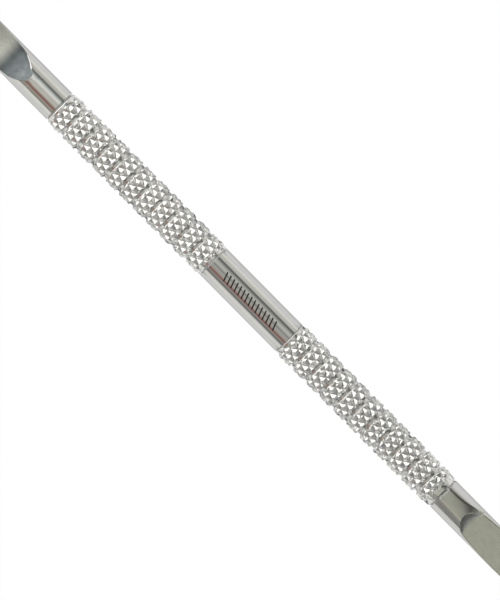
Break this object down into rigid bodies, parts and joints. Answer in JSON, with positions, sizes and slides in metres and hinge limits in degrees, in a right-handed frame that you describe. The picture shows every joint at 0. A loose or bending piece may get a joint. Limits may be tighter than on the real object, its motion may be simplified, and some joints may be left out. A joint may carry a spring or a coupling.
{
  "type": "cuticle pusher",
  "caption": "Slim double-ended steel cuticle pusher: a spoon-shaped pusher tip and a flat scraper tip on a round handle with knurled grips",
  "frame": {"origin": "middle of the tool's axis, halfway between its two ends", "axes": "+X runs along the tool from the pusher tip to the scraper tip; the ground faces of both blades look towards +Z"},
  "size_m": [0.134, 0.006, 0.006],
  "materials": {
    "tip_steel": "polished neck, fine brushed blade",
    "knurled_steel": "bright diamond knurl",
    "polished_steel": "polished"
  },
  "bodies": {
    "root": {"pusher_tip": "tip_steel", "front_grip": "knurled_steel", "centre_barrel": "polished_steel", "rear_grip": "knurled_steel", "scraper_tip": "tip_steel"}
  },
  "joints": []
}
